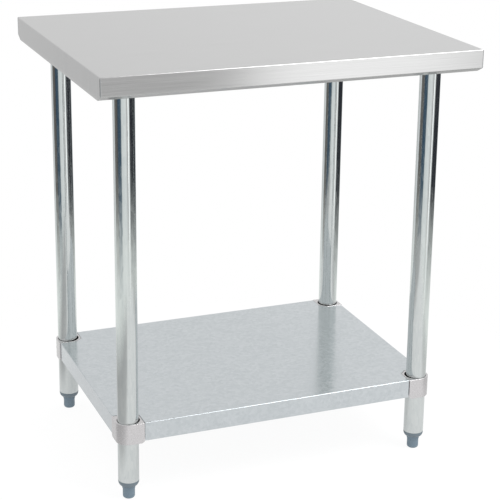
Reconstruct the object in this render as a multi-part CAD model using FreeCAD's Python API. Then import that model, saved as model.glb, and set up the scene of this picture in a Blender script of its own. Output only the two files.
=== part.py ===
import FreeCAD, Part
import math
import os

# Stainless work table with a galvanised undershelf, in millimetres.
# +Z is up, +X runs to the right along the front, and the front edge faces -Y.
# The origin is on the floor, under the centre of the worktop.

# ---- driving dimensions -------------------------------------------------------------
TABLE_WIDTH = 762.0            # 30 inch worktop
TABLE_DEPTH = 610.0            # 24 inch worktop
TABLE_HEIGHT = 864.0           # 34 inch to the working surface, feet screwed fully in

TOP_SHEET = 1.2                # stainless sheet of the worktop
EDGE_HEIGHT = 45.0             # full drop of the worktop's edge
EDGE_FACE = 36.0               # vertical part of the front and rear edges
EDGE_RETURN = 18.0             # how far the slanted return runs in under the top
EDGE_RADIUS = 2.0              # bend radius along the top's outer edges
CORNER_SEAM = 0.8              # open joint between a side flange and the front or rear edge
CORNER_SEAM_TOP = 4.0          # where the joint starts and ends, below the surface
CORNER_SEAM_END = 34.0

LEG_X = 313.0                  # leg axes, from the middle of the table
LEG_Y = 221.0
TUBE_RADIUS = 41.3 / 2         # 1 5/8 inch tube
TUBE_WALL = 1.5
TUBE_BOTTOM = 39.0             # the tube's lower end, above the floor

CHANNEL_DEPTH = 25.0           # hat channels under the top, front to back
CHANNEL_WEB = 80.0
CHANNEL_FLANGE = 15.0
CHANNEL_SHEET = 1.5
CHANNEL_LENGTH = 560.0
STIFFENER_DEPTH = 20.0         # lengthwise hat section between the two channels
STIFFENER_WEB = 70.0

SOCKET_PLATE = 90.0            # square base of each leg socket
SOCKET_PLATE_THICK = 3.0
SOCKET_COLLAR_LENGTH = 22.0
SOCKET_COLLAR_WALL = 3.3
SOCKET_RIB = 3.0

SHELF_TOP = 165.0              # height of the undershelf's surface
SHELF_DROP = 38.0              # depth of its turned-down flanges
SHELF_SHEET = 1.2
SHELF_EDGE = 23.0              # flange plane, outside the leg axis
SHELF_RADIUS = 1.5
SHELF_RIB_DEPTH = 18.0         # hat section under the shelf
SHELF_RIB_WEB = 60.0
SHELF_RIB_FLANGE = 12.0

BRACKET_OUTER = 25.0           # cast bracket: outer faces, from the leg axis
BRACKET_INNER = 26.5           # and its inner ends, where the shelf flanges begin
BRACKET_CORNER_CUT = 14.0      # 45 degree cut on the inner corner
BRACKET_BELOW = 4.0            # how far it hangs below the shelf flanges
BRACKET_END_CUT = 5.0          # slope at the lower end of each wing
BRACKET_BORE = 22.45           # radius of its bore, which leaves 0.3 mm on the leg's outer side
BRACKET_BORE_SHIFT = 1.5       # and its centre's shift inward, as the set screw pushes the leg outward
BRACKET_LIP = 3.0              # ledge under the shelf sheet
BRACKET_LIP_REACH = 14.0
TONGUE_THICK = 3.0             # tongue behind each shelf flange, at the end of each wing
TONGUE_BACK = 2.5              # and how far behind it
TONGUE_REACH = 10.0
TONGUE_ABOVE = 2.0             # how far it starts above the flange's lower edge
SEAM = 1.2                     # open seam between bracket and shelf

SCREW_RADIUS = 3.0             # M6 socket set screws
SCREW_LENGTH = 10.0
HEX_RADIUS = 1.7
HEX_DEPTH = 3.0

INSERT_BOTTOM = 27.0           # lower end of the plug pressed into the tube
INSERT_BOWL_TOP = 38.0         # where its bowl reaches the tube's own radius
INSERT_LENGTH_IN_TUBE = 30.0
INSERT_NOSE_RADIUS = 13.0
FOOT_RADIUS = 12.0
FOOT_COLLAR_RADIUS = 12.9
FOOT_COLLAR_BOTTOM = 21.0
FOOT_ROUND = 5.0               # rounding at the floor
STUD_RADIUS = 6.0              # M12 stud
STUD_BOTTOM = 9.3
STUD_TOP = 66.0

FIT = 0.05                     # radial clearance of a slip fit
GAP = 0.3                      # clearance between parts that only pass each other

# ---- derived dimensions -------------------------------------------------------------
UNDER_TOP = TABLE_HEIGHT - TOP_SHEET
CHANNEL_BOTTOM = UNDER_TOP - CHANNEL_DEPTH
TUBE_TOP = CHANNEL_BOTTOM - SOCKET_PLATE_THICK
SOCKET_BOTTOM = CHANNEL_BOTTOM - SOCKET_COLLAR_LENGTH - SOCKET_PLATE_THICK
UNDER_SHELF = SHELF_TOP - SHELF_SHEET
SHELF_BOTTOM = SHELF_TOP - SHELF_DROP
BRACKET_BOTTOM = SHELF_BOTTOM - BRACKET_BELOW
SHELF_X = LEG_X + SHELF_EDGE
SHELF_Y = LEG_Y + SHELF_EDGE

UP = FreeCAD.Vector(0, 0, 1)
CORNERS = {
    "front_left": (-1, -1),
    "front_right": (1, -1),
    "back_left": (-1, 1),
    "back_right": (1, 1),
}


def save(shape, node):
    """Write one sub-part, after checking that it is sound."""
    assert shape.isValid(), node + " is not a valid solid"
    shape.exportStep("parts/" + node + ".step")
    print(node, "volume", round(shape.Volume / 1000, 2), "cm3, solids", len(shape.Solids))


def polygon_face(points):
    """A flat face from corner points given in order."""
    wire = Part.makePolygon([FreeCAD.Vector(*p) for p in points + points[:1]])
    return Part.Face(wire)


def prism_along_x(points, x_low, x_high):
    """Sweep a (y, z) outline along X."""
    face = polygon_face([(x_low, y, z) for y, z in points])
    return face.extrude(FreeCAD.Vector(x_high - x_low, 0, 0))


def prism_along_y(points, y_low, y_high):
    """Sweep an (x, z) outline along Y."""
    face = polygon_face([(x, y_low, z) for x, z in points])
    return face.extrude(FreeCAD.Vector(0, y_high - y_low, 0))


def prism_along_z(points, z_low, z_high):
    """Sweep an (x, y) outline along Z."""
    face = polygon_face([(x, y, z_low) for x, y in points])
    return face.extrude(FreeCAD.Vector(0, 0, z_high - z_low))


def turned(points):
    """Turn an (r, z) outline once about Z."""
    face = polygon_face([(r, 0, z) for r, z in points])
    return face.revolve(FreeCAD.Vector(0, 0, 0), UP, 360)


def tube(radius_out, radius_in, z_low, z_high):
    """A plain ring with square ends."""
    base = FreeCAD.Vector(0, 0, z_low)
    outer = Part.makeCylinder(radius_out, z_high - z_low, base, UP)
    return outer.cut(Part.makeCylinder(radius_in, z_high - z_low, base, UP))


def arc_points(centre, radius, start_deg, end_deg, steps):
    """Points of a round stretch, for a turned outline."""
    angles = [math.radians(start_deg + (end_deg - start_deg) * i / steps) for i in range(steps + 1)]
    return [(centre[0] + radius * math.cos(a), centre[1] + radius * math.sin(a)) for a in angles]


def at_corner(shape, side):
    """Place a shape made for the back right corner at a corner, mirrored to suit it."""
    placed = shape.copy()
    if side[0] < 0:
        placed = placed.mirror(FreeCAD.Vector(0, 0, 0), FreeCAD.Vector(1, 0, 0))
    if side[1] < 0:
        placed = placed.mirror(FreeCAD.Vector(0, 0, 0), FreeCAD.Vector(0, 1, 0))
    placed.translate(FreeCAD.Vector(side[0] * LEG_X, side[1] * LEG_Y, 0))
    return placed


def long_edges(shape, is_wanted):
    """The edges of a shape whose two ends both satisfy a test."""
    return [e for e in shape.Edges if all(is_wanted(v.Point) for v in e.Vertexes)]


# ---- worktop and what is welded under it --------------------------------------------
def worktop():
    """One folded sheet: flat sides, and front and rear edges with a slanted return."""
    half_y = TABLE_DEPTH / 2
    half_x = TABLE_WIDTH / 2
    low = TABLE_HEIGHT - EDGE_HEIGHT
    knee = TABLE_HEIGHT - EDGE_FACE
    slope = math.hypot(EDGE_RETURN, EDGE_HEIGHT - EDGE_FACE)
    rise = (EDGE_HEIGHT - EDGE_FACE) / EDGE_RETURN
    lip_y = half_y - EDGE_RETURN - TOP_SHEET * (EDGE_HEIGHT - EDGE_FACE) / slope
    lip_z = low + TOP_SHEET * EDGE_RETURN / slope
    inner_y = half_y - TOP_SHEET
    outer_side = [(half_y, TABLE_HEIGHT), (half_y, knee), (half_y - EDGE_RETURN, low)]
    inner_side = [
        (inner_y, UNDER_TOP),
        (inner_y, lip_z + rise * (inner_y - lip_y)),
        (lip_y, lip_z),
        (lip_y, low - 1),
    ]
    outer = prism_along_x(both_sides(outer_side), -half_x, half_x)

    def on_outside_top(point):
        return point.z > TABLE_HEIGHT - 0.01

    def on_corner(point):
        return point.z > knee - 0.01 and abs(abs(point.y) - half_y) < 0.01

    edges = long_edges(outer, on_outside_top) + [
        e for e in long_edges(outer, on_corner) if abs(e.Vertexes[0].Z - e.Vertexes[1].Z) > 1
    ]
    outer = outer.makeFillet(EDGE_RADIUS, edges)
    inner = prism_along_x(both_sides(inner_side), TOP_SHEET - half_x, half_x - TOP_SHEET)
    sheet = outer.cut(inner)
    seam_height = CORNER_SEAM_END - CORNER_SEAM_TOP
    for x in (-half_x, half_x - TOP_SHEET):
        for y in (-half_y + EDGE_RADIUS, half_y - EDGE_RADIUS - CORNER_SEAM):
            corner = FreeCAD.Vector(x, y, TABLE_HEIGHT - CORNER_SEAM_END)
            sheet = sheet.cut(Part.makeBox(TOP_SHEET, CORNER_SEAM, seam_height, corner))
    return sheet


def both_sides(points):
    """Close a half outline with its own mirror image."""
    return points + [(-a, b) for a, b in reversed(points)]


def hat_outline(web, flange, sheet, top, depth):
    """Outline of a hat section that hangs under a sheet, as (across, up)."""
    half = web / 2
    low = top - depth
    outside = [(half + flange, top), (half + flange, top - sheet), (half, top - sheet), (half, low)]
    inside = [(half - sheet, low + sheet), (half - sheet, top)]
    return both_sides(outside) + both_sides(inside[::-1])[::-1]


def side_channel(side_x):
    """Front-to-back hat channel that carries the two sockets of one side."""
    outline = hat_outline(CHANNEL_WEB, CHANNEL_FLANGE, CHANNEL_SHEET, UNDER_TOP, CHANNEL_DEPTH)
    channel = prism_along_y(outline, -CHANNEL_LENGTH / 2, CHANNEL_LENGTH / 2)
    channel.translate(FreeCAD.Vector(side_x * LEG_X, 0, 0))
    return channel


def centre_stiffener():
    """Lengthwise hat section under the middle of the top, between the side channels."""
    outline = hat_outline(STIFFENER_WEB, CHANNEL_FLANGE, CHANNEL_SHEET, UNDER_TOP, STIFFENER_DEPTH)
    reach = LEG_X - CHANNEL_WEB / 2 - CHANNEL_FLANGE
    return prism_along_x(outline, -reach, reach)


def leg_socket():
    """Base plate, collar and four ribs, with a tapped hole on its inner corner."""
    half = SOCKET_PLATE / 2
    collar_radius = TUBE_RADIUS + FIT + SOCKET_COLLAR_WALL
    square = [(-half, -half), (half, -half), (half, half), (-half, half)]
    body = prism_along_z(square, TUBE_TOP, CHANNEL_BOTTOM)
    body = body.fuse(tube(collar_radius, TUBE_RADIUS + FIT, SOCKET_BOTTOM, TUBE_TOP))
    reach = half - 4.0
    start = collar_radius - 1.0
    for turn in range(4):
        rib = prism_along_y(
            [(start, TUBE_TOP), (reach, TUBE_TOP), (reach, TUBE_TOP - 3), (start, SOCKET_BOTTOM + 4)],
            -SOCKET_RIB / 2,
            SOCKET_RIB / 2,
        )
        rib.rotate(FreeCAD.Vector(0, 0, 0), UP, 90 * turn)
        body = body.fuse(rib)
    return body.cut(set_screw_hole(collar_radius, socket_screw_height())).removeSplitter()


def socket_screw_height():
    return SOCKET_BOTTOM + 8.0


def bracket_screw_height():
    return BRACKET_BOTTOM + 13.0


INWARD = FreeCAD.Vector(-1, -1, 0).normalize()


def set_screw_hole(reach, height):
    """A hole along the diagonal that points to the middle of the table."""
    length = reach - TUBE_RADIUS + 8.0
    start = INWARD * (TUBE_RADIUS - 2.0) + FreeCAD.Vector(0, 0, height)
    return Part.makeCylinder(SCREW_RADIUS + FIT, length, start, INWARD)


def set_screw(tip_radius, height):
    """M6 set screw on the same diagonal, with a hexagon socket in its outer end."""
    tip = INWARD * tip_radius + FreeCAD.Vector(0, 0, height)
    screw = Part.makeCylinder(SCREW_RADIUS, SCREW_LENGTH, tip, INWARD)
    angles = [math.radians(60 * i) for i in range(6)]
    corners = [(HEX_RADIUS * math.cos(a), HEX_RADIUS * math.sin(a)) for a in angles]
    recess = prism_along_z(corners, SCREW_LENGTH - HEX_DEPTH, SCREW_LENGTH + 1)
    recess.Placement = FreeCAD.Placement(tip, FreeCAD.Rotation(UP, INWARD))
    return screw.cut(recess)


# ---- legs and feet ------------------------------------------------------------------
def leg():
    """Plain round tube from the foot insert to the socket."""
    return tube(TUBE_RADIUS, TUBE_RADIUS - TUBE_WALL, TUBE_BOTTOM, TUBE_TOP)


def foot_insert():
    """Plug in the lower end of the tube, with a bowl-shaped nose, a quarter ellipse, and a bore for the stud."""
    plug = TUBE_RADIUS - TUBE_WALL - FIT
    bore = STUD_RADIUS + FIT
    reach = TUBE_RADIUS - INSERT_NOSE_RADIUS
    drop = INSERT_BOWL_TOP - INSERT_BOTTOM
    turns = [math.radians(90 - 10 * step) for step in range(10)]
    bowl = [(INSERT_NOSE_RADIUS + reach * math.cos(t), INSERT_BOWL_TOP - drop * math.sin(t)) for t in turns]
    outline = [(bore, INSERT_BOTTOM)] + bowl
    outline += [
        (TUBE_RADIUS, TUBE_BOTTOM),
        (plug, TUBE_BOTTOM),
        (plug, TUBE_BOTTOM + INSERT_LENGTH_IN_TUBE),
        (bore, TUBE_BOTTOM + INSERT_LENGTH_IN_TUBE),
    ]
    return turned(outline)


def bullet_foot():
    """Round foot with a collar, screwed up against the insert."""
    bore = STUD_RADIUS + FIT
    bore_bottom = STUD_BOTTOM - GAP
    top = INSERT_BOTTOM - GAP
    outline = [(0, 0), (FOOT_RADIUS - FOOT_ROUND, 0)]
    outline += arc_points((FOOT_RADIUS - FOOT_ROUND, FOOT_ROUND), FOOT_ROUND, -80, 0, 8)
    outline += [
        (FOOT_RADIUS, FOOT_COLLAR_BOTTOM - 1.0),
        (FOOT_COLLAR_RADIUS, FOOT_COLLAR_BOTTOM),
        (FOOT_COLLAR_RADIUS, top - 1.0),
        (FOOT_COLLAR_RADIUS - 1.0, top),
        (bore, top),
        (bore, bore_bottom),
        (0, bore_bottom),
    ]
    return turned(outline)


def foot_stud():
    """Threaded stud of the foot, as a plain shaft with a chamfered tip."""
    chamfer = 1.2
    outline = [
        (0, STUD_BOTTOM),
        (STUD_RADIUS, STUD_BOTTOM),
        (STUD_RADIUS, STUD_TOP - chamfer),
        (STUD_RADIUS - chamfer, STUD_TOP),
        (0, STUD_TOP),
    ]
    return turned(outline)


# ---- undershelf ---------------------------------------------------------------------
def corner_plan(outer, inner, cut):
    """Plan of a back right corner piece: outer faces at +outer, inner ends at -inner."""
    return [(outer, outer), (-inner, outer), (-inner, cut - inner), (cut - inner, -inner), (outer, -inner)]


def undershelf():
    """Folded sheet with four turned-down flanges, notched round each bracket."""
    tray = Part.makeBox(
        2 * SHELF_X, 2 * SHELF_Y, SHELF_DROP, FreeCAD.Vector(-SHELF_X, -SHELF_Y, SHELF_BOTTOM)
    )
    top_edges = long_edges(tray, lambda point: point.z > SHELF_TOP - 0.01)
    tray = tray.makeFillet(SHELF_RADIUS, top_edges)
    inner_x = SHELF_X - SHELF_SHEET
    inner_y = SHELF_Y - SHELF_SHEET
    hollow = Part.makeBox(
        2 * inner_x, 2 * inner_y, SHELF_DROP, FreeCAD.Vector(-inner_x, -inner_y, UNDER_SHELF - SHELF_DROP)
    )
    tray = tray.cut(hollow)
    plan = corner_plan(BRACKET_OUTER + 5.0, BRACKET_INNER + SEAM, BRACKET_CORNER_CUT)
    notch = prism_along_z(plan, SHELF_BOTTOM - 1, SHELF_TOP + 1)
    for side in CORNERS.values():
        tray = tray.cut(at_corner(notch, side))
    return tray


def shelf_stiffener():
    """Lengthwise hat section under the middle of the shelf."""
    outline = hat_outline(SHELF_RIB_WEB, SHELF_RIB_FLANGE, SHELF_SHEET, UNDER_SHELF, SHELF_RIB_DEPTH)
    reach = SHELF_X - SHELF_SHEET - 6.0
    return prism_along_x(outline, -reach, reach)


def shelf_bracket():
    """Cast corner bracket: a collar round the leg that carries the shelf on a ledge."""
    plan = corner_plan(BRACKET_OUTER, BRACKET_INNER, BRACKET_CORNER_CUT)
    block = prism_along_z(plan, BRACKET_BOTTOM, SHELF_TOP)

    def on_outer_corner(point):
        return min(point.x, point.y) > BRACKET_OUTER - 0.01

    block = block.makeFillet(BRACKET_OUTER - 0.01, long_edges(block, on_outer_corner))
    for along_x in (True, False):
        block = block.cut(wing_end_cut(along_x))
    ledge_plan = corner_plan(
        SHELF_EDGE - SHELF_SHEET, BRACKET_INNER + BRACKET_LIP_REACH, BRACKET_CORNER_CUT + BRACKET_LIP_REACH
    )
    body = block.fuse(prism_along_z(ledge_plan, UNDER_SHELF - BRACKET_LIP, UNDER_SHELF))
    for plan in tongue_plans():
        body = body.fuse(prism_along_z(plan, SHELF_BOTTOM + TONGUE_ABOVE, UNDER_SHELF))
    base = INWARD * BRACKET_BORE_SHIFT + FreeCAD.Vector(0, 0, BRACKET_BOTTOM - 1)
    body = body.cut(Part.makeCylinder(BRACKET_BORE, SHELF_DROP + BRACKET_BELOW + 2, base, UP))
    return body.cut(set_screw_hole(BRACKET_INNER * 1.5, bracket_screw_height())).removeSplitter()


def tongue_plans():
    """Plans of the two tongues that lap behind the shelf flanges and close the seams from behind."""
    outer = SHELF_EDGE - SHELF_SHEET - TONGUE_BACK
    start = 1.0 - BRACKET_INNER
    end = -BRACKET_INNER - TONGUE_REACH
    along = [(end, outer - TONGUE_THICK), (start, outer - TONGUE_THICK), (start, outer), (end, outer)]
    return [along, [(y, x) for x, y in reversed(along)]]


def wing_end_cut(along_x):
    """Wedge that slopes the lower end of one wing up to the shelf flange."""
    end = -BRACKET_INNER
    outline = [
        (end - 1, BRACKET_BOTTOM - 1),
        (end + BRACKET_END_CUT, BRACKET_BOTTOM - 1),
        (end + BRACKET_END_CUT, BRACKET_BOTTOM),
        (end, SHELF_BOTTOM),
        (end - 1, SHELF_BOTTOM),
    ]
    if along_x:
        return prism_along_y(outline, -60, 60)
    return prism_along_x(outline, -60, 60)


# ---- the table ----------------------------------------------------------------------
def build():
    save(worktop(), "worktop")
    save(side_channel(-1), "left_channel")
    save(side_channel(1), "right_channel")
    save(centre_stiffener(), "centre_stiffener")
    per_corner = {
        "leg_socket": leg_socket(),
        "leg": leg(),
        "foot_insert": foot_insert(),
        "foot_stud": foot_stud(),
        "foot": bullet_foot(),
        "shelf_bracket": shelf_bracket(),
    }
    for corner, side in CORNERS.items():
        for name, shape in per_corner.items():
            save(at_corner(shape, side), corner + "_" + name)
    save(undershelf(), "undershelf")
    save(shelf_stiffener(), "shelf_stiffener")
    socket_screw = set_screw(TUBE_RADIUS + FIT, socket_screw_height())
    bracket_screw = set_screw(TUBE_RADIUS + GAP, bracket_screw_height())
    for name, screw in (("socket_set_screws", socket_screw), ("shelf_set_screws", bracket_screw)):
        save(Part.makeCompound([at_corner(screw, side) for side in CORNERS.values()]), name)


os.makedirs("parts", exist_ok=True)
build()
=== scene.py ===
import math

import bpy
import numpy as np
from mathutils import Matrix, Vector


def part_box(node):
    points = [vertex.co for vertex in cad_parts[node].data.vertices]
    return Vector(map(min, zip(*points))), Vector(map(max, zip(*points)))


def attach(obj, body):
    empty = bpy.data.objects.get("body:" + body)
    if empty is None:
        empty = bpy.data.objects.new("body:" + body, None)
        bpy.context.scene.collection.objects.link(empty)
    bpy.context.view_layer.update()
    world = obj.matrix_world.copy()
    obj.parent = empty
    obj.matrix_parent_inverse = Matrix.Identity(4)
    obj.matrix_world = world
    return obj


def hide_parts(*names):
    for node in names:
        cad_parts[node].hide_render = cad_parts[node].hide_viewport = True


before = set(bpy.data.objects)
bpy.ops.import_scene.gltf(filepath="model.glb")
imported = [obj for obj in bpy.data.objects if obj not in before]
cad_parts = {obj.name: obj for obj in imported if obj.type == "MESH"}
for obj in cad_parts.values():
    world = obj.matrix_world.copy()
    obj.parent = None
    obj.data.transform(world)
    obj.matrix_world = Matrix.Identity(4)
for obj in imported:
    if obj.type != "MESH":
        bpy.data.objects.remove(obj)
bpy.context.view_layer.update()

# A stainless work table: a folded worktop on four round legs, with a galvanised shelf near the floor.
# Metres, +Z up, front edge towards -Y; the origin is on the floor under the middle of the top.

MM = 0.001
FIT = 0.05 * MM                # clearance of a slip fit
GAP = 0.3 * MM                 # clearance between parts that only pass each other
CORNERS = {
    "front_left": (-1, -1),
    "front_right": (1, -1),
    "back_left": (-1, 1),
    "back_right": (1, 1),
}

# ---- sizes that the CAD boxes give --------------------------------------------------
TOP_LOW, TOP_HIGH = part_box("worktop")
SHELF_LOW, SHELF_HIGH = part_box("undershelf")
LEG_LOW, LEG_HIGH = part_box("back_right_leg")
INSERT_LOW, INSERT_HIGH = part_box("back_right_foot_insert")
STUD_LOW, STUD_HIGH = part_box("back_right_foot_stud")
FOOT_LOW, FOOT_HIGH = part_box("back_right_foot")
BRACKET_LOW, BRACKET_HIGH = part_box("back_right_shelf_bracket")
SOCKET_LOW, SOCKET_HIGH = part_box("back_right_leg_socket")
LEG_X = (LEG_LOW.x + LEG_HIGH.x) / 2
LEG_Y = (LEG_LOW.y + LEG_HIGH.y) / 2
TUBE_RADIUS = (LEG_HIGH.x - LEG_LOW.x) / 2
STUD_RADIUS = (STUD_HIGH.x - STUD_LOW.x) / 2

# ---- sizes of the sheet work and the castings ---------------------------------------
TOP_SHEET = 1.2 * MM
TOP_BEND = 1.8 * MM            # bend radius along the top's edges
TOP_CORNER = 2.0 * MM          # radius of its upright corners
EDGE_FACE = 36 * MM            # upright part of the front and rear edges
EDGE_RETURN = 18 * MM          # slanted return under them
KNEE_BEND = 1.5 * MM
CORNER_SEAM = 0.8 * MM         # open joint behind each upright corner
CORNER_SEAM_TOP = 4 * MM
CORNER_SEAM_END = 34 * MM

SECTION_SHEET = 1.5 * MM       # hat sections under the top
SECTION_BEND = 2.2 * MM
CHANNEL_WEB, CHANNEL_FLANGE = 80 * MM, 15 * MM
STIFFENER_WEB = 70 * MM
SHELF_RIB_WEB, SHELF_RIB_FLANGE = 60 * MM, 12 * MM

SHELF_SHEET = 1.2 * MM
SHELF_BEND = 1.5 * MM
SHELF_NOTCH = 27.7 * MM        # from the leg axis to where the shelf starts
CORNER_CUT = 14 * MM           # 45 degree cut of the notches and the brackets

BRACKET_OUTER = BRACKET_HIGH.x - LEG_X
BRACKET_INNER = 26.5 * MM
BRACKET_BORE = 22.45 * MM
BRACKET_BORE_SHIFT = 1.5 * MM  # of its centre, inward along the diagonal
BRACKET_BELOW = SHELF_LOW.z - BRACKET_LOW.z
WING_SLOPE = 5 * MM            # length of the sloped lower end of each wing
LEDGE = 3 * MM
LEDGE_REACH = 14 * MM
TONGUE = 3 * MM                # thickness of the tongues behind the shelf flanges
TONGUE_BACK = 2.5 * MM         # and how far behind them
TONGUE_REACH = 10 * MM
TONGUE_ABOVE = 2 * MM

TUBE_WALL = 1.5 * MM
SOCKET_COLLAR_WALL = 3.3 * MM
SOCKET_RIB = 3 * MM
SOCKET_SINK = 0.5 * MM         # how far the collar and ribs run into the plate
INSERT_NECK = 13 * MM          # radius of the insert's lower end
INSERT_BRIM = 1 * MM           # from its bowl's widest ring up to the tube
FOOT_COLLAR_STEP = 0.9 * MM    # how far the collar stands out from the foot's body
SOCKET_SCREW_UP = 8 * MM       # height of a set screw above its socket's lower end
BRACKET_SCREW_UP = 13 * MM     # and above its bracket's
SCREW_RADIUS = 3 * MM
SCREW_LENGTH = 10 * MM
HEX_RADIUS = 1.7 * MM
HEX_DEPTH = 3 * MM
THREAD_PITCH = 1.75 * MM
THREAD_DEPTH = 1.0 * MM
ROUND_COLUMNS = 96             # columns round a tube


# ---- curves and grids ---------------------------------------------------------------
def rounded(corners, radius, steps=5, closed=False):
    """A polyline with each corner replaced by an arc that touches both of its legs.

    With half the inside angle h, the arc starts radius / tan h along each leg, and its centre is
    radius / sin h from the corner along the bisector. Points run along the arc by turning the first spoke
    into the last one.
    """
    p = np.array(corners, float)
    radius = np.broadcast_to(np.asarray(radius, float), (len(p),))
    before, after = np.roll(p, 1, axis=0) - p, np.roll(p, -1, axis=0) - p
    middle = slice(None) if closed else slice(1, -1)
    corner, r = p[middle], radius[middle][:, None]
    a = before[middle] / np.linalg.norm(before[middle], axis=1, keepdims=True)
    b = after[middle] / np.linalg.norm(after[middle], axis=1, keepdims=True)
    half = np.arccos(np.clip((a * b).sum(1, keepdims=True), -1, 1)) / 2
    bisector = (a + b) / np.linalg.norm(a + b, axis=1, keepdims=True)
    centre = corner + bisector * r / np.sin(half)
    first, last = corner + a * r / np.tan(half) - centre, corner + b * r / np.tan(half) - centre
    turn = (math.pi - 2 * half)[:, None]
    t = np.linspace(0, 1, steps + 1)[None, :, None]
    arcs = np.sin((1 - t) * turn) * first[:, None] + np.sin(t * turn) * last[:, None]
    arcs = (centre[:, None] + arcs / np.sin(turn)).reshape(-1, p.shape[1])
    return arcs if closed else np.vstack([p[:1], arcs, p[-1:]])


def grid_faces(rows, columns, wrap_rows=False, wrap_columns=True):
    """Quads of a grid stored row by row: a point, the next in its row, and the same two one row on."""
    r, c = np.meshgrid(
        np.arange(rows if wrap_rows else rows - 1),
        np.arange(columns if wrap_columns else columns - 1),
        indexing="ij",
    )
    r, c = r.ravel(), c.ravel()
    r_next, c_next = (r + 1) % rows, (c + 1) % columns
    here, there = r * columns, r_next * columns
    return np.stack([here + c, here + c_next, there + c_next, there + c], axis=1).tolist()


def capped(rows, columns):
    """Faces of a grid that is closed round its columns, with its first and last rows filled."""
    first = list(range(columns))[::-1]
    last = [(rows - 1) * columns + i for i in range(columns)]
    return grid_faces(rows, columns) + [first, last]


def turned(profile, columns=ROUND_COLUMNS):
    """Turn (r, z) points about Z: x = r cos a, y = r sin a, one row per point and one column per angle."""
    r, z = np.array(profile, float).T
    angle = np.arange(columns) * 2 * math.pi / columns
    x, y = r[:, None] * np.cos(angle), r[:, None] * np.sin(angle)
    return np.stack([x, y, np.broadcast_to(z[:, None], x.shape)], axis=2).reshape(-1, 3)


def turned_ring(profile, columns=ROUND_COLUMNS):
    """A closed (r, z) outline turned about Z, going up its outside and down its bore."""
    return turned(profile, columns), grid_faces(len(profile), columns, wrap_rows=True)


def turned_solid(profile, columns=ROUND_COLUMNS):
    """An open (r, z) outline turned about Z, with its two end rings filled."""
    return turned(profile, columns), capped(len(profile), columns)


def prism(outline, z_low, z_high):
    """A flat outline, given anticlockwise, raised from z_low to z_high, with both ends filled."""
    outline = np.array(outline, float)
    low = np.column_stack([outline, np.full(len(outline), z_low)])
    high = np.column_stack([outline, np.full(len(outline), z_high)])
    return np.vstack([low, high]), capped(2, len(outline))


def joined(*shells):
    """Several (points, faces) shells as one."""
    points, faces, count = [], [], 0
    for p, f in shells:
        points.append(p)
        faces += [[i + count for i in face] for face in f]
        count += len(p)
    return np.vstack(points), faces


def moved(shell, across=(0, 0, 0), turn=0.0):
    """A shell turned about Z and then shifted."""
    points, faces = shell
    c, s = math.cos(turn), math.sin(turn)
    spin = np.array([[c, s, 0], [-s, c, 0], [0, 0, 1]])
    return points @ spin + np.array(across), faces


def at_corner(shell, side):
    """A shell made for the back right leg, mirrored to suit another corner and put on its leg axis.

    A single mirror turns faces inside out, so their corners are then listed the other way round.
    """
    points, faces = shell
    placed = points * np.array([side[0], side[1], 1]) + np.array([side[0] * LEG_X, side[1] * LEG_Y, 0])
    return placed, [f[::-1] for f in faces] if side[0] * side[1] < 0 else faces


def add_piece(name, shell, body, nodes, slot, finish, fold=35, sheet_map=None):
    """Put a shell in the scene as one piece: its mesh, its finish, its body and the CAD nodes it stands for.

    Edges that turn by more than fold degrees stay crisp. sheet_map gives each point its place on the flat
    sheet.
    """
    points, faces = shell
    mesh = bpy.data.meshes.new(name)
    mesh.from_pydata(np.asarray(points).tolist(), [], faces)
    mesh.shade_smooth()
    mesh.set_sharp_from_angle(angle=math.radians(fold))
    if sheet_map is not None:
        corners = np.zeros(len(mesh.loops), np.int32)
        mesh.loops.foreach_get("vertex_index", corners)
        layer = mesh.uv_layers.new(name="sheet")
        layer.data.foreach_set("uv", np.asarray(sheet_map, np.float32)[corners].ravel())
    mesh.materials.append(finish)
    piece = bpy.data.objects.new(name, mesh)
    bpy.context.scene.collection.objects.link(piece)
    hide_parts(*nodes)
    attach(piece, body)
    return piece


def keep_flats_flat(piece):
    """Weigh the smooth shading by face area, so that a large flat face beside a small bend stays flat."""
    weigh = piece.modifiers.new("flat_shading", "WEIGHTED_NORMAL")
    weigh.mode = "FACE_AREA"
    weigh.weight = 100
    weigh.keep_sharp = True


def give_wall(piece, thickness):
    """Thicken a skin inwards, so that its outside stays where it is."""
    wall = piece.modifiers.new("wall", "SOLIDIFY")
    wall.thickness = thickness
    wall.offset = -1
    wall.use_even_offset = True
    keep_flats_flat(piece)


def soften(piece, width, segments=2):
    """Round every crisp edge a little."""
    edge = piece.modifiers.new("soft_edge", "BEVEL")
    edge.width = width
    edge.segments = segments
    edge.limit_method = "ANGLE"
    edge.angle_limit = math.radians(30)
    keep_flats_flat(piece)


# ---- finishes -----------------------------------------------------------------------
def linear(hex_colour):
    """An sRGB hex colour as the linear colour that shaders take."""
    parts = [int(hex_colour[i:i + 2], 16) / 255 for i in (1, 3, 5)]
    return tuple(c / 12.92 if c <= 0.04045 else ((c + 0.055) / 1.055) ** 2.4 for c in parts) + (1.0,)


def add_node(tree, kind, settings=None, inputs=None):
    """Add a node, set its properties, and give each named input a value or a link from an output."""
    made = tree.nodes.new("ShaderNode" + kind)
    for name, value in (settings or {}).items():
        setattr(made, name, value)
    for name, value in (inputs or {}).items():
        if isinstance(value, bpy.types.NodeSocket):
            tree.links.new(value, made.inputs[name])
        else:
            made.inputs[name].default_value = value
    return made


def new_finish(name):
    """An empty material and its node tree."""
    material = bpy.data.materials.new(name)
    material.use_nodes = True
    material.node_tree.nodes.clear()
    return material, material.node_tree


def output(tree, shader, kind="OutputMaterial"):
    """Send a shader to the tree's output."""
    add_node(tree, kind, inputs={"Surface": shader.outputs[0]})


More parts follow.
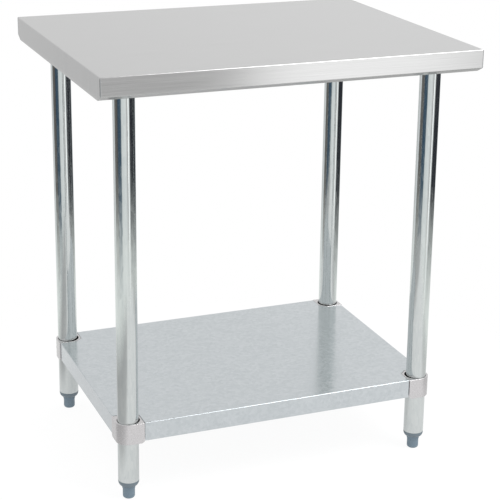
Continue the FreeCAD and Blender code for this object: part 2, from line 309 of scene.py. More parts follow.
def between(tree, factor, low, high):
    """A colour that goes from low to high, both sRGB hex, as a factor goes from 0 to 1."""
    mix = add_node(tree, "Mix", {"data_type": "RGBA"})
    tree.links.new(factor, mix.inputs["Factor"])
    mix.inputs[6].default_value = linear(low)
    mix.inputs[7].default_value = linear(high)
    return mix.outputs[2]


def span(tree, value, from_low, from_high, to_low, to_high):
    """A value carried from one range to another and held at its ends."""
    ranged = add_node(tree, "MapRange", inputs={
        "Value": value,
        "From Min": from_low,
        "From Max": from_high,
        "To Min": to_low,
        "To Max": to_high,
    })
    return ranged.outputs["Result"]


def colour_ramp(tree, factor, stops):
    """A colour read off a row of (position, sRGB hex) stops as a factor goes from 0 to 1."""
    node = add_node(tree, "ValToRGB", inputs={"Fac": factor})
    ramp = node.color_ramp
    while len(ramp.elements) < len(stops):
        ramp.elements.new(0.5)
    for element, (position, colour) in zip(ramp.elements, stops):
        element.position = position
        element.color = linear(colour)
    return node.outputs["Color"]


def stretched(tree, place, size):
    """A place divided by a size along each axis, so that a pattern of scale 1 repeats at that size."""
    mapping = add_node(tree, "Mapping", {"vector_type": "POINT"}, {
        "Vector": place,
        "Scale": tuple(1 / s for s in size),
    })
    return mapping.outputs["Vector"]


def brushed_stainless():
    """Stainless sheet, belt-brushed along its length before it was folded: fine straight grain, soft gloss.

    The real lines are about 0.3 mm apart, too fine to show, so they are drawn 2.5 mm wide and 160 mm long.
    The grain follows the flat sheet over the bends, so it is read from the sheet map.
    """
    material, tree = new_finish("brushed_stainless_steel")
    sheet = add_node(tree, "UVMap", {"uv_map": "sheet"}).outputs["UV"]
    lines = add_node(tree, "TexNoise", {"noise_dimensions": "2D"}, {
        "Vector": stretched(tree, sheet, (160 * MM, 2.5 * MM, 1)),
        "Scale": 1.0,
        "Detail": 4.0,
        "Roughness": 0.6,
    })
    grain = span(tree, lines.outputs["Fac"], 0.3, 0.7, 0.0, 1.0)
    tilt = add_node(tree, "Bump", inputs={"Strength": 0.03, "Distance": 0.05 * MM, "Height": grain})
    across = add_node(tree, "Tangent", {"direction_type": "UV_MAP", "uv_map": "sheet"})
    shader = add_node(tree, "BsdfPrincipled", inputs={
        "Base Color": between(tree, grain, "#C7C7C7", "#CFCFCF"),
        "Metallic": 1.0,
        "Roughness": span(tree, grain, 0.0, 1.0, 0.15, 0.17),
        "Anisotropic": 0.8,
        "Anisotropic Rotation": 0.25,
        "Tangent": across.outputs["Tangent"],
        "Normal": tilt.outputs["Normal"],
    })
    output(tree, shader)
    return material


def galvanised(name, dark, bright, cell, gloss, lean):
    """Hot-dip galvanised steel: zinc crystals that each lean a little their own way, under a thin haze.

    cell is the crystals' size along each axis, drawn large so that they show, gloss the roughness of the
    smoothest and dullest ones, and lean how far a crystal's normal may turn aside, as a share of its length.
    Crystals on a tube are drawn out along it.
    """
    material, tree = new_finish(name)
    place = add_node(tree, "TexCoord").outputs["Object"]
    crystals = add_node(tree, "TexVoronoi", {"feature": "F1"}, {
        "Vector": stretched(tree, place, cell),
        "Scale": 1.0,
        "Randomness": 1.0,
    })
    shade = add_node(tree, "SeparateColor", inputs={"Color": crystals.outputs["Color"]})
    haze = add_node(tree, "TexNoise", inputs={
        "Vector": stretched(tree, place, (45 * MM, 45 * MM, 90 * MM)),
        "Scale": 1.0,
        "Detail": 3.0,
    })
    cloud = span(tree, haze.outputs["Fac"], 0.3, 0.7, 0.0, 1.0)
    mixed = add_node(tree, "Mix", {"data_type": "FLOAT"}, {"Factor": 0.25})
    tree.links.new(shade.outputs["Red"], mixed.inputs[2])
    tree.links.new(cloud, mixed.inputs[3])
    tone = mixed.outputs[0]
    aside = add_node(tree, "VectorMath", {"operation": "MULTIPLY_ADD"}, {
        0: crystals.outputs["Color"],
        1: (2 * lean, 2 * lean, 2 * lean),
        2: (-lean, -lean, -lean),
    })
    smooth = add_node(tree, "NewGeometry").outputs["Normal"]
    leaning = add_node(tree, "VectorMath", {"operation": "ADD"}, {0: smooth, 1: aside.outputs[0]})
    facet = add_node(tree, "VectorMath", {"operation": "NORMALIZE"}, {0: leaning.outputs[0]})
    shader = add_node(tree, "BsdfPrincipled", inputs={
        "Base Color": between(tree, tone, dark, bright),
        "Metallic": 1.0,
        "Roughness": span(tree, tone, 0.0, 1.0, *gloss),
        "Normal": facet.outputs[0],
    })
    output(tree, shader)
    return material


def cast_metal(name, dark, bright, gloss, grit):
    """Cast or pressed metal, tumbled: a fine pebbled skin with a dull gloss. grit is the pebbles' size."""
    material, tree = new_finish(name)
    place = add_node(tree, "TexCoord").outputs["Object"]
    pebbles = add_node(tree, "TexNoise", inputs={
        "Vector": stretched(tree, place, (grit, grit, grit)),
        "Scale": 1.0,
        "Detail": 3.0,
    })
    level = span(tree, pebbles.outputs["Fac"], 0.3, 0.7, 0.0, 1.0)
    tilt = add_node(tree, "Bump", inputs={"Strength": 0.25, "Distance": 0.15 * MM, "Height": level})
    shader = add_node(tree, "BsdfPrincipled", inputs={
        "Base Color": between(tree, level, dark, bright),
        "Metallic": 1.0,
        "Roughness": span(tree, level, 0.0, 1.0, *gloss),
        "Normal": tilt.outputs["Normal"],
    })
    output(tree, shader)
    return material


def moulded_plastic(name, dark, bright, gloss):
    """Glass-filled nylon, injection moulded: an even blue-grey with a faint 0.8 mm eggshell texture."""
    material, tree = new_finish(name)
    place = add_node(tree, "TexCoord").outputs["Object"]
    shell = add_node(tree, "TexNoise", inputs={
        "Vector": stretched(tree, place, (0.8 * MM, 0.8 * MM, 0.8 * MM)),
        "Scale": 1.0,
        "Detail": 2.0,
    })
    level = span(tree, shell.outputs["Fac"], 0.3, 0.7, 0.0, 1.0)
    tilt = add_node(tree, "Bump", inputs={"Strength": 0.15, "Distance": 0.05 * MM, "Height": level})
    shader = add_node(tree, "BsdfPrincipled", inputs={
        "Base Color": between(tree, level, dark, bright),
        "Metallic": 0.0,
        "Roughness": span(tree, level, 0.0, 1.0, *gloss),
        "IOR": 1.53,
        "Normal": tilt.outputs["Normal"],
    })
    output(tree, shader)
    return material


STAINLESS = brushed_stainless()
SHELF_ZINC = galvanised(
    "galvanised_sheet_steel", "#CAD0D3", "#D6DBDE", (6 * MM, 6 * MM, 6 * MM), (0.13, 0.20), 0.005
)
TUBE_ZINC = galvanised(
    "galvanised_tube_steel", "#D0D5D5", "#DADEDD", (3 * MM, 3 * MM, 18 * MM), (0.06, 0.13), 0.005
)
SECTION_ZINC = galvanised(
    "galvanised_section_steel", "#AEB3B6", "#C6CACC", (8 * MM, 8 * MM, 8 * MM), (0.35, 0.5), 0.03
)
SOCKET_ZINC = cast_metal("zinc_plated_socket", "#B4B6B6", "#C9CBCA", (0.35, 0.5), 2.0 * MM)
BRACKET_ALLOY = cast_metal("cast_aluminium", "#CFCDCE", "#DFDDDE", (0.20, 0.30), 1.6 * MM)
SCREW_ZINC = cast_metal("bright_zinc_plated_steel", "#B9BBBC", "#CFD1D2", (0.22, 0.32), 1.0 * MM)
FOOT_PLASTIC = moulded_plastic("moulded_nylon_foot", "#718492", "#7B8D9A", (0.38, 0.48))
# The insert is the foot's nylon painted a little darker: painted shade on its downward-facing bowl.
SHADED_INSERT_PLASTIC = moulded_plastic("moulded_nylon_insert_painted_shade", "#6E7C85", "#78858E", (0.42, 0.52))


# ---- worktop ------------------------------------------------------------------------
def worktop_sheet():
    """The folded top, as rings that run round the plan from the flat surface down to the lower edge.

    The edge profile gives each ring how far it lies inside the outline and how far it has dropped. A ring is
    a rounded rectangle: x = sx (X - r) + r cos a and y = sy (Y - r) + r sin a, where X and Y are the half
    sides less the inset. Below the knee only Y shrinks, which slants the front and rear returns and cuts the
    sides' ends.
    """
    half_x, half_y, surface = TOP_HIGH.x, TOP_HIGH.y, TOP_HIGH.z
    full_drop = TOP_HIGH.z - TOP_LOW.z
    bend = rounded([(8 * MM, 0), (0, 0), (0, CORNER_SEAM_TOP)], TOP_BEND, 6)
    knee = rounded([(0, CORNER_SEAM_END), (0, EDGE_FACE), (EDGE_RETURN, full_drop)], KNEE_BEND, 4)
    inset_y, drop = np.vstack([bend, knee]).T
    inset_x = np.where(drop < CORNER_SEAM_TOP, inset_y, 0.0)
    radius = np.maximum(TOP_CORNER - inset_x, 0.2 * MM)

    arc = np.linspace(0, 90, 6)
    signs, angles, seam_shift = [], [], []
    for quarter, (sx, sy) in enumerate([(1, 1), (-1, 1), (-1, -1), (1, -1)]):
        around = list(arc + 90 * quarter)
        seam_side = 0 if quarter % 2 == 0 else len(around)
        shifts = [0.0] * len(around)
        around.insert(seam_side, around[0] if seam_side == 0 else around[-1])
        shifts.insert(seam_side, -sy * CORNER_SEAM)
        signs += [(sx, sy)] * len(around)
        angles += around
        seam_shift += shifts
    sx, sy = np.array(signs, float).T
    angle = np.radians(angles)
    seam_shift = np.array(seam_shift)

    x = sx * (half_x - inset_x - radius)[:, None] + radius[:, None] * np.cos(angle)
    y = sy * (half_y - inset_y - radius)[:, None] + radius[:, None] * np.sin(angle) + seam_shift
    z = np.broadcast_to((surface - drop)[:, None], x.shape)
    points = np.stack([x, y, z], axis=2).reshape(-1, 3)

    rows, columns = x.shape
    row, column = np.divmod(np.arange((rows - 1) * columns), columns)
    straddles = (seam_shift[column] != 0) != (seam_shift[(column + 1) % columns] != 0)
    near = np.hypot(
        x[row, column] - x[row, (column + 1) % columns], y[row, column] - y[row, (column + 1) % columns]
    )
    in_seam = straddles & (near < 2 * CORNER_SEAM) & (drop[row] >= CORNER_SEAM_TOP - 1e-7)
    in_seam &= drop[row + 1] <= CORNER_SEAM_END + 1e-7
    quads = np.array(grid_faces(rows, columns))[~in_seam].tolist()
    faces = quads + [list(range(columns))[::-1]]
    on_side = np.abs(np.cos(angle)) > 0.99
    down = np.broadcast_to(drop[:, None], x.shape)
    flat_x = np.where(on_side, x + sx * down, x)
    flat_y = np.where(on_side, y, y + sy * down)
    sheet_map = np.stack([flat_x, flat_y], axis=2).reshape(-1, 2)
    return (points, [f[::-1] for f in faces]), sheet_map


def hat_section(web, flange, depth, top, reach, along_x, middle=0.0):
    """The outside of a hat section: flange, wall, web, wall, flange, with bent corners, on a straight run."""
    half = web / 2
    skin = top - SECTION_SHEET
    outline = rounded(
        [
            (-half - flange, skin),
            (-half, skin),
            (-half, top - depth),
            (half, top - depth),
            (half, skin),
            (half + flange, skin),
        ],
        SECTION_BEND,
        4,
    )
    across, up = outline.T
    ends = np.array([-reach, reach]) if along_x else np.array([reach, -reach])
    length = np.broadcast_to(ends[:, None], (2, len(across)))
    across = np.broadcast_to(across + middle, length.shape)
    up = np.broadcast_to(up, length.shape)
    order = [length, across, up] if along_x else [across, length, up]
    return np.stack(order, axis=2).reshape(-1, 3), grid_faces(2, len(outline), wrap_columns=False)


# ---- undershelf ---------------------------------------------------------------------
def shelf_sheet():
    """The shelf: a flat outline with a notch at each leg, and four flanges bent down from its straight sides.

    Each flange carries its side of the outline out by R sin a and down by R - R cos a, then straight down.
    """
    flat_x, flat_y = SHELF_HIGH.x - SHELF_BEND, SHELF_HIGH.y - SHELF_BEND
    notch_x, notch_y = LEG_X - SHELF_NOTCH, LEG_Y - SHELF_NOTCH
    quarter = np.array([
        (flat_x, notch_y),
        (notch_x + CORNER_CUT, notch_y),
        (notch_x, notch_y + CORNER_CUT),
        (notch_x, flat_y),
    ])
    plan = np.vstack([
        quarter,
        quarter[::-1] * (-1, 1),
        quarter * (-1, -1),
        quarter[::-1] * (1, -1),
    ])
    surface = SHELF_HIGH.z
    points = [np.column_stack([plan, np.full(len(plan), surface)])]
    faces = [list(range(len(plan)))]
    depth = SHELF_HIGH.z - SHELF_LOW.z
    out, drop = rounded([(-SHELF_BEND, 0), (0, 0), (0, depth)], SHELF_BEND, 5)[2:].T
    out = out + SHELF_BEND
    count = len(plan)
    for first, outward in ((3, (0, 1)), (7, (-1, 0)), (11, (0, -1)), (15, (1, 0))):
        second = (first + 1) % len(plan)
        ends = np.stack([plan[first], plan[second]])
        strip = ends[None] + out[:, None, None] * np.array(outward)
        height = np.broadcast_to((surface - drop)[:, None, None], strip.shape[:2] + (1,))
        points.append(np.concatenate([strip, height], axis=2).reshape(-1, 3))
        left = np.array([first] + [count + 2 * k for k in range(len(out))])
        right = np.array([second] + [count + 2 * k + 1 for k in range(len(out))])
        faces += np.stack([right[:-1], left[:-1], left[1:], right[1:]], axis=1).tolist()
        count += 2 * len(out)
    return np.vstack(points), faces


def corner_bracket():
    """The cast bracket: a ring between its outline and its bore, with a ledge under the shelf on its inner
    side and a tongue behind each of the shelf's flanges.

    Outline points run round the leg axis, and each has a bore point in the same direction from the bore's
    own centre, which lies a little inward. The underside rises by the same share along each wing's end, from
    nothing at its start to the shelf flange's lower edge.
    """
    outer, inner = BRACKET_OUTER, BRACKET_INNER
    slope = inner - WING_SLOPE
    turn = np.radians(np.linspace(0, 90, 13))
    round_corner = outer * np.stack([np.cos(turn), np.sin(turn)], axis=1)
    corners = [
        (-slope, outer),
        (-inner, outer),
        (-inner, 0),
        (-inner, CORNER_CUT - inner),
        (-slope, CORNER_CUT - inner - WING_SLOPE),
        (CORNER_CUT - inner - WING_SLOPE, -slope),
        (CORNER_CUT - inner, -inner),
        (0, -inner),
        (outer, -inner),
        (outer, -slope),
    ]
    path = np.vstack([round_corner, corners, round_corner[:1]])
    steps = np.arange(4) / 4
    tail = path[len(round_corner) - 1:]
    filled = (tail[:-1, None] + (tail[1:] - tail[:-1])[:, None] * steps[None, :, None]).reshape(-1, 2)
    outline = np.vstack([round_corner[:-1], filled])
    centre = np.full(2, -BRACKET_BORE_SHIFT / math.sqrt(2))
    spokes = outline - centre
    bore = centre + spokes * (BRACKET_BORE / np.linalg.norm(spokes, axis=1, keepdims=True))

    def underside(plan):
        """The height of the bracket's lower side at each point of a plan."""
        past = np.clip(np.maximum(-plan[:, 0], -plan[:, 1]) - slope, 0, WING_SLOPE)
        return BRACKET_LOW.z + past * BRACKET_BELOW / WING_SLOPE

    top = np.full(len(outline), BRACKET_HIGH.z)
    rows = [
        np.column_stack([outline, underside(outline)]),
        np.column_stack([outline, top]),
        np.column_stack([bore, top]),
        np.column_stack([bore, underside(bore)]),
    ]
    block = np.vstack(rows), grid_faces(4, len(outline), wrap_rows=True)

    edge = SHELF_HIGH.x - LEG_X - SHELF_SHEET - 0.2 * MM
    reach = inner + LEDGE_REACH
    cut = CORNER_CUT + LEDGE_REACH
    buried = inner - 0.5 * MM
    ledge_plan = [
        (-buried, edge),
        (-reach, edge),
        (-reach, cut - reach),
        (cut - reach, -reach),
        (edge, -reach),
        (edge, -buried),
        (CORNER_CUT - buried, -buried),
        (-buried, CORNER_CUT - buried),
    ]
    ledge_top = SHELF_HIGH.z - SHELF_SHEET
    ledge = prism(ledge_plan, ledge_top - LEDGE, ledge_top)
    start, end = -buried, -inner - TONGUE_REACH
    face = SHELF_HIGH.x - LEG_X - SHELF_SHEET - TONGUE_BACK
    along = [(end, face - TONGUE), (start, face - TONGUE), (start, face), (end, face)]
    low = SHELF_LOW.z + TONGUE_ABOVE
    tongues = [prism(plan, low, ledge_top) for plan in (along, [(y, x) for x, y in reversed(along)])]
    return joined(block, ledge, *tongues)


# ---- legs, sockets, feet and screws -------------------------------------------------
def leg_tube():
    """A plain tube with slightly rounded ends."""
    inside = TUBE_RADIUS - TUBE_WALL
    outline = [
        (TUBE_RADIUS, LEG_LOW.z),
        (TUBE_RADIUS, LEG_HIGH.z),
        (inside, LEG_HIGH.z),
        (inside, LEG_LOW.z),
    ]
    return turned_ring(rounded(outline, 0.3 * MM, 2, closed=True))


def leg_socket():
    """A square base plate, the collar that takes the tube, and four ribs between them."""
    half = (SOCKET_HIGH.x - SOCKET_LOW.x) / 2
    plate_thick = SOCKET_HIGH.z - LEG_HIGH.z
    plate_low = LEG_HIGH.z
    square = rounded([(-half, -half), (half, -half), (half, half), (-half, half)], 6 * MM, 6, closed=True)
    plate = prism(square, plate_low, plate_low + plate_thick)
    collar_in = TUBE_RADIUS + FIT
    collar_out = collar_in + SOCKET_COLLAR_WALL
    collar = turned_ring([
        (collar_out, SOCKET_LOW.z),
        (collar_out, plate_low + SOCKET_SINK),
        (collar_in, plate_low + SOCKET_SINK),
        (collar_in, SOCKET_LOW.z),
    ], 64)
    start, end = collar_out - 1 * MM, half - 4 * MM
    profile = [
        (start, SOCKET_LOW.z + 4 * MM),
        (end, plate_low - 3 * MM),
        (end, plate_low + SOCKET_SINK),
        (start, plate_low + SOCKET_SINK),
    ]
    rib_half = SOCKET_RIB / 2
    side = np.array([(r, -rib_half, z) for r, z in profile] + [(r, rib_half, z) for r, z in profile])
    rib = side, [f[::-1] for f in capped(2, 4)]
    ribs = [moved(rib, turn=math.radians(90 * k)) for k in range(4)]
    return joined(plate, collar, *ribs)


def foot_insert():
    """The plug in the tube's lower end, with a bore for the stud.

    The nose below the tube is a quarter ellipse: r = neck + (tube radius - neck) cos t and
    z = brim - depth sin t.
    """
    bore = STUD_RADIUS + FIT
    plug = TUBE_RADIUS - TUBE_WALL - FIT
    neck = INSERT_NECK
    brim = LEG_LOW.z - INSERT_BRIM
    t = np.radians(np.linspace(90, 0, 13))
    r = neck + (TUBE_RADIUS - neck) * np.cos(t)
    z = brim - (brim - INSERT_LOW.z) * np.sin(t)
    bowl = np.stack([r, z], axis=1)
    in_tube = [
        (TUBE_RADIUS, LEG_LOW.z),
        (plug, LEG_LOW.z),
        (plug, INSERT_HIGH.z),
        (bore, INSERT_HIGH.z),
        (bore, INSERT_LOW.z),
    ]
    return turned_ring(np.vstack([bowl, in_tube]), 72)


def bullet_foot():
    """The foot: a round-nosed body, a slightly wider collar over it and a blind bore for the stud."""
    collar = (FOOT_HIGH.x - FOOT_LOW.x) / 2
    body = collar - FOOT_COLLAR_STEP
    bore = STUD_RADIUS + FIT
    top = FOOT_HIGH.z
    outline = rounded(
        [
            (1 * MM, 0),
            (body, 0),
            (body, top - 6.2 * MM),
            (collar, top - 5.4 * MM),
            (collar, top),
            (bore, top),
            (bore, STUD_LOW.z - GAP),
        ],
        np.array([0, 4.8, 0.5, 0.4, 0.8, 0.4, 0]) * MM,
        6,
    )
    return turned_solid(outline, 72)


def foot_stud():
    """The threaded stud: r = root + depth times a triangle wave of (height / pitch - angle / full turn)."""
    rows = int((STUD_HIGH.z - STUD_LOW.z) / THREAD_PITCH * 6)
    columns = 24
    z = np.linspace(STUD_LOW.z, STUD_HIGH.z, rows)[:, None]
    angle = (np.arange(columns) * 2 * math.pi / columns)[None]
    phase = (z / THREAD_PITCH - angle / (2 * math.pi)) % 1.0
    ridge = 1 - np.abs(2 * phase - 1)
    r = STUD_RADIUS - THREAD_DEPTH + THREAD_DEPTH * ridge
    from_end = np.minimum(z - STUD_LOW.z, STUD_HIGH.z - z)
    r = np.minimum(r, STUD_RADIUS - THREAD_DEPTH - 0.3 * MM + from_end)
    points = np.stack([r * np.cos(angle), r * np.sin(angle), np.broadcast_to(z, r.shape)], axis=2)
    return points.reshape(-1, 3), capped(rows, columns)


def set_screw(start, height):
    """A set screw that points from the leg to the middle of the table, with a hexagon socket in its end.

    In its own frame it is a turned shape whose last rings have the hexagon's radius, a / cos of the angle
    from the nearest flat's middle. It is then laid along the diagonal.
    """
    columns = 24
    angle = np.arange(columns) * 2 * math.pi / columns
    flat = HEX_RADIUS * math.cos(math.pi / 6)
    hexagon = flat / np.cos((angle % (math.pi / 3)) - math.pi / 6)
    even = np.ones(columns)
    rings = [
        (1.4 * MM * even, 0.0),
        (SCREW_RADIUS * even, 1.0 * MM),
        (SCREW_RADIUS * even, SCREW_LENGTH - 0.5 * MM),
        ((SCREW_RADIUS - 0.5 * MM) * even, SCREW_LENGTH),
        (hexagon + 0.2 * MM, SCREW_LENGTH),
        (hexagon, SCREW_LENGTH - 0.2 * MM),
        (hexagon, SCREW_LENGTH - HEX_DEPTH),
    ]
    r = np.array([ring[0] for ring in rings])
    along = np.array([ring[1] for ring in rings])[:, None] + start
    inward = np.array([-1, -1, 0]) / math.sqrt(2)
    sideways = np.array([1, -1, 0]) / math.sqrt(2)
    upward = np.cross(inward, sideways)
    points = (
        along[..., None] * inward
        + (r * np.cos(angle))[..., None] * sideways
        + (r * np.sin(angle))[..., None] * upward
        + np.array([0, 0, height])
    )
    return points.reshape(-1, 3), capped(len(rings), columns)


# ---- the table ----------------------------------------------------------------------
def build_table():
    """Make every piece of the table, with its finish, its body and the CAD nodes that it stands for."""
    shell, sheet_map = worktop_sheet()
    top = add_piece(
        "folded_worktop", shell, "root", ["worktop"], "stainless_sheet", STAINLESS, sheet_map=sheet_map
    )
    give_wall(top, TOP_SHEET)

    section = {"body": "root", "slot": "galvanised_channel", "finish": SECTION_ZINC}
    under_top = TOP_HIGH.z - TOP_SHEET
    for side, x in (("left", -LEG_X), ("right", LEG_X)):
        low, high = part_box(side + "_channel")
        depth = under_top - low.z
        shell = hat_section(CHANNEL_WEB, CHANNEL_FLANGE, depth, under_top, high.y, False, middle=x)
        channel = add_piece(side + "_hat_channel", shell, nodes=[side + "_channel"], **section)
        give_wall(channel, SECTION_SHEET)
    low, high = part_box("centre_stiffener")
    shell = hat_section(STIFFENER_WEB, CHANNEL_FLANGE, under_top - low.z, under_top, high.x, True)
    stiffener = add_piece("centre_hat_stiffener", shell, nodes=["centre_stiffener"], **section)
    give_wall(stiffener, SECTION_SHEET)

    shelf = add_piece(
        "folded_undershelf", shelf_sheet(), "shelf", ["undershelf"], "galvanised_sheet", SHELF_ZINC
    )
    give_wall(shelf, SHELF_SHEET)
    low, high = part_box("shelf_stiffener")
    under_shelf = SHELF_HIGH.z - SHELF_SHEET
    depth = under_shelf - low.z
    shell = hat_section(SHELF_RIB_WEB, SHELF_RIB_FLANGE, depth, under_shelf, high.x, True)
    rib = add_piece(
        "shelf_hat_stiffener", shell, "shelf", ["shelf_stiffener"], "galvanised_channel", SECTION_ZINC
    )
    give_wall(rib, SECTION_SHEET)

    casting = corner_bracket()
    per_corner = [
        ("leg", "leg_tube", leg_tube(), "root", "galvanised_tube", TUBE_ZINC, 0),
        ("leg_socket", "ribbed_socket", leg_socket(), "root", "socket_casting", SOCKET_ZINC, 0.5 * MM),
        ("foot_insert", "tube_end_insert", foot_insert(), "root", "foot_plastic", SHADED_INSERT_PLASTIC, 0),
        ("foot", "bullet_foot", bullet_foot(), "{}_foot", "foot_plastic", FOOT_PLASTIC, 0),
        ("shelf_bracket", "corner_casting", casting, "shelf", "bracket_casting", BRACKET_ALLOY, 0.6 * MM),
    ]
    for corner, side in CORNERS.items():
        for node, name, shell, body, slot, finish, edge in per_corner:
            placed = at_corner(shell, side)
            piece = add_piece(
                corner + "_" + name, placed, body.format(corner), [corner + "_" + node], slot, finish
            )
            if edge:
                soften(piece, edge)
            else:
                keep_flats_flat(piece)
        stud = moved(foot_stud(), (side[0] * LEG_X, side[1] * LEG_Y, 0))
        stud_name = corner + "_threaded_stud"
        add_piece(stud_name, stud, corner + "_stud", [corner + "_foot_stud"], "zinc_fastener", SCREW_ZINC)

    socket_height, bracket_height = SOCKET_LOW.z + SOCKET_SCREW_UP, BRACKET_LOW.z + BRACKET_SCREW_UP
    for node, name, body, gap, height in (
        ("socket_set_screws", "socket_grub_screws", "root", FIT, socket_height),
        ("shelf_set_screws", "shelf_grub_screws", "shelf", GAP, bracket_height),
    ):
        screw = set_screw(TUBE_RADIUS + gap, height)
        four = joined(*[at_corner(screw, side) for side in CORNERS.values()])
        add_piece(name, four, body, [node], "zinc_fastener", SCREW_ZINC)


# ---- studio -------------------------------------------------------------------------
def add_world():
    """Soft studio light worked out from the direction alone.

    By height it is a floor that is darkest straight below, then walls, then a ceiling that is a little
    brighter towards the right. Round the room the walls go from bright in front and behind to dark on both
    sides, which gives round tubes their bands. The lens sees plain white instead.
    """
    world = bpy.data.worlds.new("studio")
    world.use_nodes = True
    tree = world.node_tree
    tree.nodes.clear()
    way = add_node(tree, "SeparateXYZ", inputs={"Vector": add_node(tree, "TexCoord").outputs["Generated"]})
    forward = add_node(tree, "Math", {"operation": "MULTIPLY"}, {0: way.outputs["Y"], 1: -1.0}).outputs[0]
    azimuth = add_node(tree, "Math", {"operation": "ARCTAN2"}, {0: way.outputs["X"], 1: forward}).outputs[0]
    height = way.outputs["Z"]
    stops = [
        (-180, "#A3A3A3"),
        (-170, "#A4A4A4"),
        (-158, "#929292"),
        (-147, "#AAACAE"),
        (-131, "#AAACAE"),
        (-124, "#5A5856"),
        (-90, "#403E3C"),
        (-80, "#2C3B49"),
        (-50, "#31424F"),
        (-42, "#AAACAC"),
        (-5, "#B4B6B6"),
        (8, "#A6A6A6"),
        (12, "#929292"),
        (22.0, "#8A8A8A"),
        (22.6, "#E6E6E6"),
        (28, "#E0E0E0"),
        (30.5, "#D6D6D6"),
        (33, "#9C9C9C"),
        (39, "#A6A8A8"),
        (43, "#222428"),
        (95, "#222428"),
        (126, "#303336"),
        (146, "#A6A8AA"),
        (180, "#A3A3A3"),
    ]
    turn = span(tree, azimuth, -math.pi, math.pi, 0.0, 1.0)
    walls = colour_ramp(tree, turn, [((degrees + 180) / 360, colour) for degrees, colour in stops])
    above_floor = span(tree, height, -0.36, -0.29, 0.0, 1.0)
    low = add_node(tree, "Mix", {"data_type": "RGBA"}, {"Factor": above_floor})
    from_steep = span(tree, height, -0.56, -0.47, 0.0, 1.0)
    tree.links.new(between(tree, from_steep, "#808080", "#B8BAB8"), low.inputs[6])
    tree.links.new(walls, low.inputs[7])
    to_ceiling = span(tree, height, -0.21, 0.16, 0.0, 1.0)
    steepness = add_node(tree, "Math", {"operation": "MULTIPLY"}, {0: height, 1: 0.5}).outputs[0]
    aside = add_node(tree, "Math", {"operation": "SUBTRACT"}, {0: way.outputs["X"], 1: steepness})
    to_right = span(tree, aside.outputs[0], 0.14, 0.30, 0.0, 1.0)
    ceiling = between(tree, to_right, "#ADADAD", "#B2B2B2")
    room = add_node(tree, "Mix", {"data_type": "RGBA"}, {"Factor": to_ceiling})
    tree.links.new(low.outputs[2], room.inputs[6])
    tree.links.new(ceiling, room.inputs[7])
    seen = add_node(tree, "Background", inputs={"Color": linear("#FFFFFF"), "Strength": 1.0})
    light = add_node(tree, "Background", inputs={"Color": room.outputs[2], "Strength": 2.0})
    is_camera = add_node(tree, "LightPath").outputs["Is Camera Ray"]
    shader = add_node(tree, "MixShader", inputs={0: is_camera, 1: light.outputs[0], 2: seen.outputs[0]})
    output(tree, shader, "OutputWorld")
    bpy.context.scene.world = world


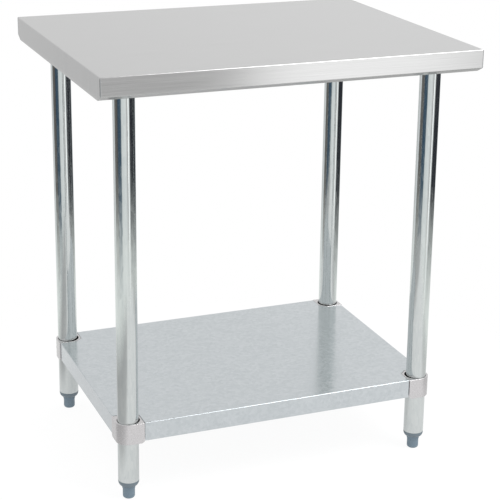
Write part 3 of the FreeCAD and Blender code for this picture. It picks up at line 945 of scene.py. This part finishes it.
def add_floor():
    """A pale paper floor, a disc that fades out into the room, which glows though it is no lamp.

    The lens sees it nearly white, with a faint shadow. What it gives the table is painted light: a glow
    that is brightest under it and falls off to both sides.
    """
    material, tree = new_finish("floor_paper_painted_glow")
    place = add_node(tree, "TexCoord").outputs["Object"]
    off_centre = add_node(tree, "VectorMath", {"operation": "ADD"}, {0: place, 1: (0.15, 0.35, 0)})
    distance = add_node(tree, "VectorMath", {"operation": "LENGTH"}, {0: off_centre.outputs[0]})
    fade_from, fade_to = 0.8, 1.15
    fade = span(tree, distance.outputs["Value"], fade_from, fade_to, 0.0, 1.0)
    is_camera = add_node(tree, "LightPath").outputs["Is Camera Ray"]
    across = add_node(tree, "SeparateXYZ", inputs={"Vector": place}).outputs["X"]
    # Painted light: the glow that the table sees is brightest under it and dims towards both sides.
    painted_light_pool = colour_ramp(tree, span(tree, across, -0.9, 0.9, 0.0, 1.0), [
        (0.0, "#7C7C7C"),
        (0.17, "#8A8A8A"),
        (0.26, "#CCCCCC"),
        (0.80, "#CCCCCC"),
        (0.96, "#6A6A6A"),
    ])
    painted_glow_colour = add_node(tree, "Mix", {"data_type": "RGBA"}, {"Factor": is_camera})
    tree.links.new(painted_light_pool, painted_glow_colour.inputs[6])
    painted_glow_colour.inputs[7].default_value = linear("#FFFFFF")
    # The floor glows though it is no lamp; the lens sees this painted glow as plain white.
    glow = add_node(tree, "Emission", inputs={"Color": painted_glow_colour.outputs[2], "Strength": 0.92})
    paper = add_node(tree, "BsdfDiffuse", inputs={"Color": between(tree, is_camera, "#9A9A9A", "#606060")})
    lit = add_node(tree, "AddShader", inputs={0: paper.outputs[0], 1: glow.outputs[0]})
    clear = add_node(tree, "BsdfTransparent")
    output(tree, add_node(tree, "MixShader", inputs={0: fade, 1: lit.outputs[0], 2: clear.outputs[0]}))
    hub, rim, below = 0.05, 2.4, 0.2 * MM
    rings = np.linspace(hub, rim, 12)
    disc = turned([(r, -below) for r in rings], 64)
    faces = [f[::-1] for f in grid_faces(len(rings), 64)] + [list(range(64))]
    mesh = bpy.data.meshes.new("floor")
    mesh.from_pydata(disc.tolist(), [], faces)
    mesh.materials.append(material)
    floor = bpy.data.objects.new("floor", mesh)
    bpy.context.scene.collection.objects.link(floor)


def add_softbox():
    """One large soft light in front to the right and above, for a bright line along the folded edges."""
    light = bpy.data.lights.new("softbox", "AREA")
    light.shape = "RECTANGLE"
    light.size, light.size_y = 1.6, 1.4
    light.energy = 38
    softbox = bpy.data.objects.new("softbox", light)
    round_by, above, away = math.radians(40), math.radians(45), 3.0
    level = math.cos(above)
    way = Vector((math.sin(round_by) * level, -math.cos(round_by) * level, math.sin(above)))
    target = Vector((0, 0, 0.8))
    facing = way.to_track_quat("Z", "Y").to_matrix().to_4x4()
    softbox.matrix_world = Matrix.Translation(target + way * away) @ facing
    softbox.visible_camera = False
    bpy.context.scene.collection.objects.link(softbox)


def add_camera():
    """A long lens to the left of the front edge and above it.

    It aims a little above the middle of the table, and its frame is shifted down to bring the table back.
    """
    data = bpy.data.cameras.new("camera")
    data.lens = 108.3
    data.sensor_width = 36.0
    data.shift_y = -0.10
    data.clip_start, data.clip_end = 0.1, 50.0
    camera = bpy.data.objects.new("camera", data)
    turn_right, look_down, roll = 0.3837, 0.3022, 0.0124
    camera.matrix_world = (
        Matrix.Translation(Vector((-1.0908, -2.7641, 1.4397)))
        @ Matrix.Rotation(-turn_right, 4, "Z")
        @ Matrix.Rotation(math.pi / 2 - look_down, 4, "X")
        @ Matrix.Rotation(roll, 4, "Z")
    )
    bpy.context.scene.collection.objects.link(camera)
    bpy.context.scene.camera = camera


build_table()
add_world()
add_floor()
add_softbox()
add_camera()
bpy.context.scene.view_settings.view_transform = "Standard"
